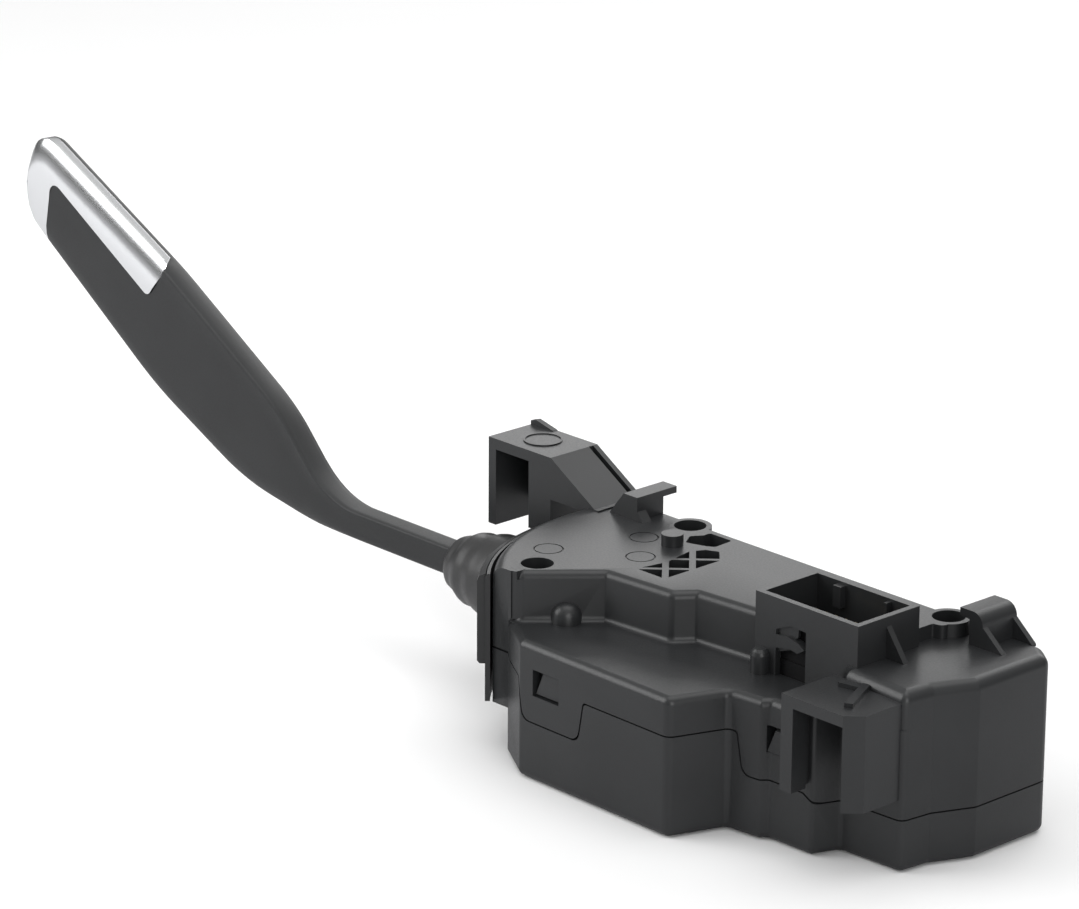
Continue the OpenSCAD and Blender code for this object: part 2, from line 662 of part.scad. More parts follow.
// The lever's side view, in x and z
boot_end = -41;
knee = [boot_end - arm_len, arm_z];
along = [-cos(grip_rise), sin(grip_rise)];
across = [sin(grip_rise), cos(grip_rise)];
function on_grip(s, t) = knee + along * s + across * t;
arm_top = arm_z + arm_h / 2;
arm_bottom = arm_z - arm_h / 2;
top_t = grip_w / 2;
tip_s = grip_len + 5.3;
function corner3(p, r) = [p.x, p.y, r];
grip_outline = [
    [-23.2, arm_bottom, 0], [-23.2, arm_top, 0], [knee.x + 3.7, arm_top + 0.3, 20],
    corner3(on_grip(20.6, top_t - 1.5), 40), corner3(on_grip(62.5, top_t), 120),
    corner3(on_grip(tip_s, top_t - 2), 5),
    corner3(on_grip(tip_s - 9, 6 - top_t), 7), corner3(on_grip(tip_s - 16.1, 3.9 - top_t), 0.8),
    corner3(on_grip(55.3, -top_t), 100), corner3(on_grip(23, 2 - top_t), 60), [knee.x - 4, arm_bottom + 0.5, 60]];

grip_y0 = arm_y - arm_w / 2;
grip_y1 = arm_y + arm_w / 2;

// A straight bar with one bend, thick by h, from x on the arm to s on the grip
function bent_bar(x, s, h) = let (bend = h / 2 * tan(grip_rise / 2)) [
    [x, arm_z - h / 2, 0], [x, arm_z + h / 2, 0], [knee.x + bend, arm_z + h / 2, 6],
    corner3(on_grip(s, h / 2), 0), corner3(on_grip(s, -h / 2), 0), [knee.x - bend, arm_z - h / 2, 10]];
core_outline = bent_bar(8, 72, core_h);

module lever_core() {
    color([0.5, 0.5, 0.52]) front_plate(outline(core_outline), arm_y - core_w / 2, arm_y + core_w / 2);
}

// Park button, in the tip and moving along the grip, with its switch and spring behind it
button_t = -0.5;
button_reach = 16;
button_in = grip_len - 12;
switch_out = button_in - 4;
switch_l = 3.3;
recess_r = 1.1;
module along_grip(s, t) {
    p = on_grip(s, t);
    translate([p.x, arm_y, p.y]) rotate([0, grip_rise, 0]) children();
}

// A bar with round ends, running along the grip by length, thick in y by w and high by h
module rounded_bar(length, w, h) {
    rotate([0, 90, 0]) linear_extrude(length) {
        square([h - w, w], center = true);
        for (s = [-1, 1]) translate([s * (h - w) / 2, 0]) circle(d = w, $fn = 32);
    }
}

button_y = 0.45;
module button_space(grow, length) {
    along_grip(button_in + length - grow, button_t) translate([0, button_y, 0])
        rounded_bar(length, button_w + 2 * grow, button_h + 2 * grow);
}

module trim_region() {
    s1 = grip_len - trim_len;
    low = top_t - trim_w;
    polygon(outline([
        corner3(on_grip(tip_s + 4, top_t + 4), 0), corner3(on_grip(tip_s + 4, -13), 0),
        corner3(on_grip(tip_s - 16.4, -11.3), 0), corner3(on_grip(tip_s - 15.7, -9), 0.4),
        corner3(on_grip(tip_s - 10.9, low), 2.4), corner3(on_grip(s1 - 0.8, low - 1.3), 1.4),
        corner3(on_grip(s1 - 2.2, top_t - 1.6), 1.2), corner3(on_grip(s1 - 2.2, top_t + 4), 0)]));
}

module trim_shape(y0, y1) {
    translate([0, y1, 0]) rotate([90, 0, 0]) linear_extrude(y1 - y0) intersection() {
        polygon(outline(grip_outline));
        trim_region();
    }
}

module inner_grip(y0, y1, d) {
    front_plate(outline(grip_outline, d), y0, y1);
}

module chrome_trim() {
    color([0.85, 0.86, 0.88]) difference() {
        trim_shape(grip_y0, grip_y0 + trim_cap_w);
        inner_grip(grip_y0 + trim_t, grip_y0 + trim_cap_w + 1, trim_t);
        button_space(0.25, button_reach);
    }
}

module lever_grip() {
    color([0.27, 0.275, 0.28]) difference() {
        inner_grip(grip_y0, grip_y1, 0);
        difference() {
            trim_shape(grip_y0 - 1, grip_y0 + trim_cap_w + 0.03);
            inner_grip(grip_y0 + trim_t + 0.03, grip_y1, trim_t + 0.03);
        }
        front_plate(outline(core_outline, -0.06), arm_y - core_w / 2 - 0.06, arm_y + core_w / 2 + 0.06);
        button_space(0.12, button_reach);
        along_grip(button_in + 1, button_t) translate([0, button_y, 0])
            rounded_bar(button_travel + 1.7, button_w + 0.24, button_h + 0.24);
        along_grip(button_in - 1, button_t) translate([0, button_y - 1.8, -3.2])
            cube([button_in - 1 - switch_out + switch_l + 0.1, 3.6, 6.4]);
        lead_space(0.12);
    }
}

// A flat lead beside the core, from the button's switch down to the carrier
module lead_space(grow) {
    y0 = arm_y + core_w / 2 + 0.1;
    lead_s = switch_out - switch_l - 0.13;
    front_plate(outline(bent_bar(10, lead_s, 1.2), -grow), y0 - grow, y0 + 1 + grow);
}

module switch_lead() {
    color([0.15, 0.15, 0.15]) lead_space(0);
}

module button_switch() {
    color([0.75, 0.75, 0.72]) along_grip(switch_out, button_t) translate([0, button_y - 1.7, -3.1])
        cube([switch_l, 3.4, 6.2]);
}

module button_spring() {
    spring_l = button_in + 0.25 - switch_out;
    color("silver") along_grip(switch_out + spring_l, button_t) translate([0, button_y, 0]) rotate([0, 90, 0])
        difference() {
            cylinder(r = recess_r - 0.15, h = spring_l - 0.03, $fn = 24);
            translate([0, 0, -1]) cylinder(r = recess_r - 0.5, h = spring_l + 2, $fn = 24);
        }
}

module park_button() {
    recess = button_travel + 0.3;
    color([0.2, 0.2, 0.205]) difference() {
        intersection() {
            button_space(0, button_reach);
            inner_grip(grip_y0, grip_y1, 0.15);
        }
        along_grip(button_in + recess, button_t) translate([0, button_y, 0]) rotate([0, 90, 0])
            cylinder(r = recess_r, h = recess + 1, $fn = 24);
    }
}

belt_z1 = arm_z + belt_h / 2;
belt_z0 = arm_z - belt_h / 2;
module sheet_slot() {
    box(-40, 0, grip_y0 - 0.05, grip_y1 + 0.05, arm_bottom - 0.05, arm_top + 0.05);
}

module shutter_plate() {
    z0 = -28.4;
    z1 = -1.8;
    r1 = sheet_r + shutter_t;
    color([0.25, 0.25, 0.25]) difference() {
        union() {
            front_sector([[sheet_r, z0], [r1, z0], [r1, z1], [sheet_r, z1]], -46, 17);
            front_sector([[r1 - 0.1, belt_z0 - 2], [belt_r + 0.6, belt_z0 - 2], [belt_r, belt_z0 + 1],
                [belt_r, belt_z1 - 1], [belt_r - 1, belt_z1], [r1 - 0.1, belt_z1 + 0.6]], -45, 8);
        }
        sheet_slot();
    }
}

module rubber_boot() {
    x_sheet = arc_x(belt_r, arm_y);
    color([0.16, 0.16, 0.16]) difference() {
        translate([0, arm_y, arm_z]) rotate([0, -90, 0]) rotate_extrude($fn = 64)
            polygon([[0, 14], [9.4, 14], [9.4, -x_sheet + 2.4], [8.5, -x_sheet + 5], [8.3, 31.5], [7.7, 34.6],
                [7.2, 36.6], [6.2, 38], [5.9, 39], [5.6, -boot_end - 0.6], [5.2, -boot_end], [0, -boot_end]]);
        translate([pivot.x, pivot.y, 0]) rotate_extrude($fn = 180) polygon([[0, -60], [belt_r + 0.65, -60],
            [belt_r + 0.65, belt_z0 - 1.9], [belt_r + 0.05, belt_z0 + 1.1], [belt_r + 0.05, 10], [0, 10]]);
        box(-60, 0, grip_y0 - 0.05, grip_y1 + 0.05, arm_bottom - 0.05, arm_top + 0.25);
    }
}

module detent_plunger() {
    tip = land_z + 0.15;
    color("silver") translate([plunger_at.x, plunger_at.y, tip]) {
        translate([0, 0, 2]) sphere(r = 2, $fn = 40);
        translate([0, 0, 2]) cylinder(r = plunger_r - 0.06, h = 4.2, $fn = 40);
    }
}

module plunger_spring() {
    z0 = land_z + 0.15 + 6.2;
    color("silver") translate([plunger_at.x, plunger_at.y, z0]) difference() {
        cylinder(r = 1.7, h = -18.8 - z0, $fn = 24);
        translate([0, 0, -1]) cylinder(r = 1.2, h = 20, $fn = 24);
    }
}

upper_housing();
lower_housing();
clip_bracket();
latch_box();
plug_socket();
circuit_board();
board_screws();
position_sensor();
controller_chip();
plug_header();
plug_contacts();
detent_block();
pivot_pin();
pivot_clip();
centring_spring();
carrier();
upper_bush();
lower_bush();
position_magnet();
lever_core();
lever_grip();
chrome_trim();
shutter_plate();
rubber_boot();
button_switch();
switch_lead();
button_spring();
park_button();
detent_plunger();
plunger_spring();
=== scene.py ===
import json
import math

import bmesh
import bpy
from mathutils import Matrix, Vector


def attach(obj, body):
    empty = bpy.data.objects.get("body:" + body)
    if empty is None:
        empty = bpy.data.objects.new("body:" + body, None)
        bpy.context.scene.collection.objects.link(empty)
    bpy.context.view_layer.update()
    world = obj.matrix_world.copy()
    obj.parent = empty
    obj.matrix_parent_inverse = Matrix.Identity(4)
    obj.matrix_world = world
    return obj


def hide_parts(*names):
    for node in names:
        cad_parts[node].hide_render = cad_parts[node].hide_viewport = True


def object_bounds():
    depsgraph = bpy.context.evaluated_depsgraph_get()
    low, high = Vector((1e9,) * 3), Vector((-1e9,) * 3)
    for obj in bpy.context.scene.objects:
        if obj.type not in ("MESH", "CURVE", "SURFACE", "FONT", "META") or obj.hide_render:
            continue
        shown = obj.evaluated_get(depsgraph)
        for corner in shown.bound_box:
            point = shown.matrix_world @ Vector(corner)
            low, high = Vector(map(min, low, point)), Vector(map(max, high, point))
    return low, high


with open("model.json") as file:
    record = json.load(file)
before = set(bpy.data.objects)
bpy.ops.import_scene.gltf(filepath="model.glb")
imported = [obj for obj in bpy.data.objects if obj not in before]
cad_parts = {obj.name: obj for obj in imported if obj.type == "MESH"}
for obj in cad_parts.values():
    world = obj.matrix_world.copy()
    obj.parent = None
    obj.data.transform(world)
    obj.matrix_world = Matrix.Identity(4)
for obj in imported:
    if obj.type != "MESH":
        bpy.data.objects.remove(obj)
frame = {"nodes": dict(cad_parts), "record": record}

cad_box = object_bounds()
scene = bpy.context.scene
scene.view_settings.view_transform = "Standard"
nodes = frame["nodes"]
slot_of = {part["node"]: part["material_slot"] for part in frame["record"]["subparts"]}
mm = 0.001


# Camera: the view of the photograph

PHOTO_W, PHOTO_H = 1079, 909
FOCAL_PX = 5000.0
# The front screw hole, whose centre is the part's origin: its place, and its diameter in mm and in pixels
HOLE_PX = (537.3, 563.1)
HOLE_D, HOLE_D_PX = 6.5, 33.4
# The angles of the view in degrees
TURN, TILT, ROLL = 46.83, 18.74, 0.35
SENSOR = 36.0
CLIP_NEAR, CLIP_FAR = 0.05, 20.0


def set_camera():
    """Stands where the screw hole has its real size and its place in the photograph."""
    turn, tilt, roll = [math.radians(angle) for angle in (TURN, TILT, ROLL)]
    c, s = math.cos(turn), math.sin(turn)
    x_axis = Vector((c, s * math.sin(tilt), -s * math.cos(tilt)))
    y_axis = Vector((s, -c * math.sin(tilt), c * math.cos(tilt)))
    z_axis = Vector((0, -math.cos(tilt), -math.sin(tilt)))
    rolled = Matrix.Rotation(roll, 3, "Z")
    view = Matrix((rolled @ x_axis, rolled @ y_axis, rolled @ z_axis)).transposed()
    distance = FOCAL_PX * HOLE_D / HOLE_D_PX
    across = (HOLE_PX[0] - PHOTO_W / 2) / FOCAL_PX * distance
    below = (HOLE_PX[1] - PHOTO_H / 2) / FOCAL_PX * distance
    right, down, ahead = view[0], view[1], view[2]
    pose = Matrix((right, -down, -ahead)).transposed().to_4x4()
    pose.translation = -(view.transposed() @ Vector((across, below, distance))) * mm
    data = bpy.data.cameras.new("camera")
    data.sensor_fit = "HORIZONTAL"
    data.sensor_width = SENSOR
    data.lens = FOCAL_PX / PHOTO_W * SENSOR
    data.clip_start = CLIP_NEAR
    data.clip_end = CLIP_FAR
    camera = bpy.data.objects.new("camera", data)
    scene.collection.objects.link(camera)
    camera.matrix_world = pose
    scene.camera = camera


set_camera()


# Materials. Scales are for coordinates in metres

COLOUR_SWING, GLOSS_SWING = 0.12, 0.05
BUMP_STRENGTH = 0.35
CLOUD_SCALE = 60.0


def new_material(name):
    mat = bpy.data.materials.new(name)
    mat.use_nodes = True
    tree = mat.node_tree
    tree.nodes.clear()
    out = tree.nodes.new("ShaderNodeOutputMaterial")
    shader = tree.nodes.new("ShaderNodeBsdfPrincipled")
    tree.links.new(shader.outputs[0], out.inputs[0])
    return mat, tree, shader


def noise(tree, coords, scale, detail, rough=0.5):
    texture = tree.nodes.new("ShaderNodeTexNoise")
    texture.inputs["Scale"].default_value = scale
    texture.inputs["Detail"].default_value = detail
    texture.inputs["Roughness"].default_value = rough
    tree.links.new(coords, texture.inputs["Vector"])
    return texture.outputs[0]


def ramp(tree, value, low, high, start=0.3, end=0.7):
    """Low where the value is at start, high where it is at end, and even between."""
    scaled = tree.nodes.new("ShaderNodeMapRange")
    scaled.inputs["From Min"].default_value = start
    scaled.inputs["From Max"].default_value = end
    scaled.inputs["To Min"].default_value = low
    scaled.inputs["To Max"].default_value = high
    tree.links.new(value, scaled.inputs["Value"])
    return scaled.outputs[0]


def mixed(tree, factor, first, second):
    """The first colour where the factor is 0, the second where it is 1."""
    mix = tree.nodes.new("ShaderNodeMix")
    mix.data_type = "RGBA"
    mix.inputs["A"].default_value = (*first, 1)
    mix.inputs["B"].default_value = (*second, 1)
    tree.links.new(factor, mix.inputs["Factor"])
    return mix.outputs["Result"]


def two_shades(tree, shader, pattern, colour, vary):
    """Lets the base colour swing a little to both sides of a colour."""
    dark = [v * (1 - vary) for v in colour]
    light = [min(1, v * (1 + vary)) for v in colour]
    tree.links.new(mixed(tree, ramp(tree, pattern, 0, 1), dark, light), shader.inputs["Base Color"])


def moulded(name, colour, rough, grain=2600.0, depth=0.00002, spec=0.5):
    """A moulded plastic or rubber: slow colour changes, and fine grain in its surface and its gloss."""
    mat, tree, shader = new_material(name)
    coords = tree.nodes.new("ShaderNodeTexCoord").outputs["Object"]
    two_shades(tree, shader, noise(tree, coords, CLOUD_SCALE, 3.0), colour, COLOUR_SWING)
    fine = noise(tree, coords, grain, 3.0, 0.6)
    gloss = ramp(tree, fine, rough - GLOSS_SWING, rough + GLOSS_SWING)
    tree.links.new(gloss, shader.inputs["Roughness"])
    bump = tree.nodes.new("ShaderNodeBump")
    bump.inputs["Strength"].default_value = BUMP_STRENGTH
    bump.inputs["Distance"].default_value = depth
    tree.links.new(fine, bump.inputs["Height"])
    tree.links.new(bump.outputs[0], shader.inputs["Normal"])
    shader.inputs["Specular IOR Level"].default_value = spec
    return mat


def metal(name, colour, rough, grain=900.0, vary=0.05, swing=0.03):
    """A metal with a fine grain in its colour and its gloss."""
    mat, tree, shader = new_material(name)
    coords = tree.nodes.new("ShaderNodeTexCoord").outputs["Object"]
    fine = noise(tree, coords, grain, 2.0)
    two_shades(tree, shader, fine, colour, vary)
    tree.links.new(ramp(tree, fine, rough - swing, rough + swing), shader.inputs["Roughness"])
    shader.inputs["Metallic"].default_value = 1.0
    return mat


MOULDED = {
    "housing_plastic": dict(colour=(0.0205, 0.0215, 0.0225), rough=0.36, grain=2400, depth=0.00003,
                            spec=0.45),
    "tray_plastic": dict(colour=(0.022, 0.023, 0.024), rough=0.37, grain=2400, depth=0.00003, spec=0.45),
    "lever_plastic": dict(colour=(0.0205, 0.0213, 0.022), rough=0.52, grain=3200, depth=0.00002, spec=0.42),
    "button_plastic": dict(colour=(0.02, 0.02, 0.021), rough=0.35, grain=3000, depth=0.00001),
    "shutter_plastic": dict(colour=(0.018, 0.0185, 0.019), rough=0.38, grain=2600, depth=0.00001),
    "boot_rubber": dict(colour=(0.022, 0.0223, 0.0225), rough=0.38, grain=1500, depth=0.00002, spec=0.6),
    "carrier_plastic": dict(colour=(0.45, 0.44, 0.4), rough=0.5),
    # Darker than the other black plastics: painted shade for the deep plug socket
    "header_plastic": dict(colour=(0.006, 0.006, 0.0065), rough=0.6, spec=0.2),
    "board_laminate": dict(colour=(0.02, 0.12, 0.06), rough=0.3),
    "chip_plastic": dict(colour=(0.02, 0.02, 0.022), rough=0.5),
    "bearing_plastic": dict(colour=(0.7, 0.68, 0.6), rough=0.45),
    "switch_plastic": dict(colour=(0.5, 0.5, 0.48), rough=0.5),
}
METAL = {
    "bright_trim": dict(colour=(0.82, 0.83, 0.84), rough=0.17, grain=1800, vary=0.01, swing=0.004),
    "contact_metal": dict(colour=(0.75, 0.6, 0.3), rough=0.3),
    "steel": dict(colour=(0.55, 0.55, 0.56), rough=0.35),
    "spring_steel": dict(colour=(0.42, 0.42, 0.43), rough=0.35),
    "magnet_metal": dict(colour=(0.3, 0.3, 0.31), rough=0.5),
}
materials = {name: moulded(name, **look) for name, look in MOULDED.items()}
materials.update({name: metal(name, **look) for name, look in METAL.items()})

for node_name, node in nodes.items():
    node.data.materials.clear()
    node.data.materials.append(materials[slot_of[node_name]])


# Outlines: corners as x, y and the radius of their rounding, in millimetres as in the part's source

# No rounding gets smaller than this
LEAST_R = 0.05


def unit(v):
    return v / v.length


def corner_arc(before, corner, after, r, steps):
    """The points that round one corner by the radius r."""
    to_before, to_after = unit(before - corner), unit(after - corner)
    half = math.acos(max(-1, min(1, to_before.dot(to_after)))) / 2
    centre = corner + unit(to_before + to_after) * r / math.sin(half)
    start = corner + to_before * r / math.tan(half)
    end = corner + to_after * r / math.tan(half)
    a0 = math.atan2(start.y - centre.y, start.x - centre.x)
    a1 = math.atan2(end.y - centre.y, end.x - centre.x)
    sweep = (a1 - a0 + 3 * math.pi) % (2 * math.pi) - math.pi
    angles = [a0 + sweep * k / steps for k in range(steps + 1)]
    return [centre + Vector((math.cos(a), math.sin(a))) * r for a in angles]


def rounded_corners(corners, inset, steps=5):
    """The outline moved inward, as one list of points for each corner."""
    points = [Vector(corner[:2]) for corner in corners]
    count = len(points)
    moved = []
    for i in range(count):
        a, b, c = points[i - 1], points[i], points[(i + 1) % count]
        edge_in, edge_out = unit(b - a), unit(c - b)
        normal_in, normal_out = Vector((-edge_in.y, edge_in.x)), Vector((-edge_out.y, edge_out.x))
        moved.append(b + (normal_in + normal_out) * inset / (1 + normal_in.dot(normal_out)))
    arcs = []
    for i in range(count):
        a, b, c, r = moved[i - 1], moved[i], moved[(i + 1) % count], corners[i][2]
        if r <= 0:
            arcs.append([b])
            continue
        turns_left = (b.x - a.x) * (c.y - b.y) - (b.y - a.y) * (c.x - b.x) > 0
        arcs.append(corner_arc(a, b, c, max(r - inset if turns_left else r + inset, LEAST_R), steps))
    return arcs


def whole(corners, inset, steps=5):
    """The closed outline moved inward."""
    return [p for arc in rounded_corners(corners, inset, steps) for p in arc]


def run_of(corners, first, last, before, after):
    """The part of an outline from a length before its corner first to a length after its corner last.

    It is a function of how far the outline is moved inward.
    """
    def moved(inset):
        arcs = rounded_corners(corners, inset)
        start, towards = arcs[first][0], arcs[first - 1][-1]
        end, onwards = arcs[last][-1], arcs[last + 1][0]
        middle = [p for arc in arcs[first:last + 1] for p in arc]
        return [start + unit(towards - start) * before] + middle + [end + unit(onwards - end) * after]
    return moved


# Solids, given in millimetres

# How close together points are joined, in metres
JOIN_DIST = 0.000003
# How far a cut reaches past the faces, and how far outside them its curve ends, so that no faces coincide
BEYOND = 0.4
CLEAR = 0.015
# How far a fillet reaches into the faces that it joins
SUNK = 0.1


def mesh_of(bm, name):
    """Turns the faces outward and makes a mesh of them."""
    bmesh.ops.recalc_face_normals(bm, faces=bm.faces)
    mesh = bpy.data.meshes.new(name)
    bm.to_mesh(mesh)
    bm.free()
    return mesh


def skin(rows, closed, name):
    """A skin over rows of points: each row runs along the piece, and the rows go round its section."""
    bm = bmesh.new()
    grid = [[bm.verts.new(Vector(p) * mm) for p in row] for row in rows]
    count, length = len(grid), len(grid[0])
    for i in range(count):
        a, b = grid[i], grid[(i + 1) % count]
        for k in range(length if closed else length - 1):
            bm.faces.new((a[k], a[(k + 1) % length], b[(k + 1) % length], b[k]))
    if not closed:
        bm.faces.new([row[0] for row in grid])
        bm.faces.new([row[-1] for row in reversed(grid)])
    return mesh_of(bm, name)


def stack(loops, name):
    """Closed loops joined one after the other, with flat ends."""
    bm = bmesh.new()
    rings = [[bm.verts.new(Vector(p) * mm) for p in loop] for loop in loops]
    count = len(rings[0])
    bm.faces.new(rings[0])
    bm.faces.new(rings[-1])
    for a, b in zip(rings, rings[1:]):
        for k in range(count):
            bm.faces.new((a[k], a[(k + 1) % count], b[(k + 1) % count], b[k]))
    bmesh.ops.triangulate(bm, faces=[f for f in bm.faces if len(f.verts) > 4])
    return mesh_of(bm, name)


def prism(points, along, name):
    """A flat outline carried along a vector."""
    bm = bmesh.new()
    low = [bm.verts.new(p * mm) for p in points]
    high = [bm.verts.new((p + along) * mm) for p in points]
    count = len(low)
    bm.faces.new(low)
    bm.faces.new(high)
    for k in range(count):
        bm.faces.new((low[k], low[(k + 1) % count], high[(k + 1) % count], high[k]))
    return mesh_of(bm, name)


def plan(points, z0, z1):
    """An outline in x and y made solid from z0 to z1."""
    return prism([Vector((x, y, z0)) for x, y in points], Vector((0, 0, z1 - z0)), "plan")


def side(points, y0, y1):
    """An outline in x and z made solid from y0 to y1."""
    return prism([Vector((x, y0, z)) for x, z in points], Vector((0, y1 - y0, 0)), "side")


def block(x0, x1, y0, y1, z0, z1):
    return side([(x0, z0), (x1, z0), (x1, z1), (x0, z1)], y0, y1)


def swept(section, line, name, closed=False):
    """A section of (inset, z) points carried along an outline: line(inset) is the outline moved inward."""
    return skin([[(p.x, p.y, z) for p in line(inset)] for inset, z in section], closed, name)


def edge_cut(top, r, steps=6, up=1):
    """The section that rounds an outer edge at height top by the radius r. For a lower edge up is -1."""
    section = [(-BEYOND, top + BEYOND * up), (r, top + BEYOND * up)]
    for k in range(steps + 1):
        a = math.pi / 2 * k / steps
        section.append((r * (1 - math.sin(a)) - CLEAR, top + up * (CLEAR - r * (1 - math.cos(a)))))
    section.append((-BEYOND, top + up * (CLEAR - r)))
    return section


def foot(base, r, steps=5):
    """The section of a fillet of the radius r where a wall stands on a face at height base."""
    section = [(SUNK, base + r), (SUNK, base - SUNK), (-r, base - SUNK)]
    for k in range(steps + 1):
        a = math.pi / 2 * k / steps
        section.append((-r * (1 - math.sin(a)), base + r * (1 - math.cos(a))))
    return section


def temp(mesh):
    """An object for a mesh that a boolean needs."""
    obj = bpy.data.objects.new(mesh.name, mesh)
    scene.collection.objects.link(obj)
    return obj


def combined(mesh, *steps):
    """The mesh after exact booleans. Each step is an operation and its tool meshes, which are used up."""
    obj = temp(mesh)
    for operation, tools in steps:
        for tool_mesh in tools:
            tool = temp(tool_mesh)
            mod = obj.modifiers.new("cut", "BOOLEAN")
            mod.operation = operation
            mod.solver = "EXACT"
            mod.object = tool
            graph = bpy.context.evaluated_depsgraph_get()
            result = bpy.data.meshes.new_from_object(obj.evaluated_get(graph))
            obj.modifiers.clear()
            old, obj.data = obj.data, result
            bpy.data.meshes.remove(old)
            bpy.data.objects.remove(tool)
            bpy.data.meshes.remove(tool_mesh)
    final = obj.data
    bpy.data.objects.remove(obj)
    return final


def clean(mesh, smooth_to=38, flat=0.4):
    """Joins split points, dissolves what is flat, and shades smooth up to an angle in degrees."""
    bm = bmesh.new()
    bm.from_mesh(mesh)
    bmesh.ops.remove_doubles(bm, verts=bm.verts, dist=JOIN_DIST)
    if flat:
        bmesh.ops.dissolve_limit(bm, angle_limit=math.radians(flat), verts=bm.verts, edges=bm.edges)
    bm.to_mesh(mesh)
    bm.free()
    for layer_name in ("custom_normal", "sharp_edge", "sharp_face"):
        layer = mesh.attributes.get(layer_name)
        if layer:
            mesh.attributes.remove(layer)
    shade(mesh, smooth_to)
    return mesh


def shade(mesh, smooth_to):
    """Smooth where faces meet at less than this angle in degrees, and sharp elsewhere."""
    mesh.polygons.foreach_set("use_smooth", [True] * len(mesh.polygons))
    mesh.set_sharp_from_angle(angle=math.radians(smooth_to))


def piece(name, mesh, slot, body, *stands_for):
    """A visible piece with the finish of a slot, which rides on a body and may stand for CAD nodes."""
    obj = bpy.data.objects.new(name, mesh)
    scene.collection.objects.link(obj)
    mesh.materials.clear()
    mesh.materials.append(materials[slot])
    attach(obj, body)
    if stands_for:
        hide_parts(*stands_for)


def remade_housing(node_name, *steps):
    """Puts a changed copy of one of the housing's CAD nodes in its place."""
    mesh = combined(clean(nodes[node_name].data.copy()), *steps)
    piece(node_name + "_shell", clean(mesh), slot_of[node_name], "housing", node_name)


# Housing: rounded outer edges, fillets at the feet of its walls, and the rear catch

PIVOT = Vector((26.5, 25.4))
LEDGE_Z, DECK_Z, FLOOR_Z = -10.3, -2.8, -38.6
FRONT_R = 42.3
FRONT_END_Y = 38.5


def front_arc(y_end, steps=14):
    """The curved front round the pivot, from its far end to y_end."""
    a0, a1 = [math.asin((y - PIVOT.y) / FRONT_R) for y in (FRONT_END_Y, y_end)]
    angles = [a0 + (a1 - a0) * i / steps for i in range(steps + 1)]
    return [(PIVOT.x - FRONT_R * math.cos(a), PIVOT.y + FRONT_R * math.sin(a), 0) for a in angles]


REAR = [(91, 7.3, 1.6), (91.8, 14.3, 1), (95.5, 22.8, 1.2), (95.5, 42, 2.5), (91.5, 45, 2)]
BODY = [(8.5, -12.5, 1.6), (50, -13.2, 2), (54.3, -1.4, 1.4), (62, -0.7, 0.8), (63.2, 0.7, 0.8),
        (74.2, 0.9, 1.2), (76.4, 6.6, 1.2)] + REAR + [(68, 45, 1), (66, FRONT_END_Y, 2)] + front_arc(-6.8)
PLATE = [(1.6, -5.9, 1.5), (12.6, 6.4, 0.8), (29.4, 7.7, 2.2), (32.4, 11.6, 1), (49, 13, 1), (74.4, 13, 0),
         (74.4, 32.5, 0.5), (76.6, 33, 1.2), (76.6, FRONT_END_Y, 1)] + front_arc(-5.3)
DECK = [(74.4, 8.6, 1)] + REAR + [(68, 45, 1), (68, 30, 0)]

# Runs of the outlines' edges that are rounded: their first and last corner, and the lengths past these
PLATE_RUN = dict(first=0, last=3, before=0.02, after=16.5)
PLATE_FOOT_RUN = dict(first=0, last=3, before=0.8, after=16.5)
LEDGE_RUN = dict(first=0, last=4, before=10.2, after=7.6)
DECK_RUN = dict(first=0, last=5, before=0.01, after=1.8)
PLATE_EDGE_R, LEDGE_EDGE_R, DECK_EDGE_R, FLOOR_EDGE_R = 1.7, 1.8, 2.4, 1.6
PLATE_FOOT_R = 1.3


def rear_catch():
    """A shell on the deck, open to the front, with an overhanging top and a slanting foot at each end."""
    x0, x1 = 81.4, 84.8
    y0, y1 = 35, 44.6
    base, top = DECK_Z - 0.5, 4
    round_r, cheek, hook = 2.6, 1.2, 2.4
    foot_x = x1 + 5
    inner_x, inner_z = x1 - 1.4, 2.1
    angles = [math.pi / 2 * k / 8 for k in range(9)]
    back = [(x1 - round_r * (1 - math.cos(a)), top - round_r * (1 - math.sin(a))) for a in angles]
    profile = [(x0, base), (x1, base)] + back + [(x0 - hook, top), (x0 - hook, top - 1.5), (x0, top - 1.8)]
    hollow = [(x0 - 1, base - 0.1), (inner_x, base - 0.1), (inner_x, 1.4), (inner_x - 1.6, inner_z),
              (x0 - 1, inner_z)]
    slope = [(x1 - 0.5, base), (foot_x, base), (foot_x, DECK_Z), (x1 - 0.5, 1.8)]
    return combined(
        side(profile, y0, y1),
        ("DIFFERENCE", [side(hollow, y0 + cheek, y1 - cheek)]),
        ("UNION", [side(slope, y, y + cheek) for y in (y0, y1 - cheek)]))


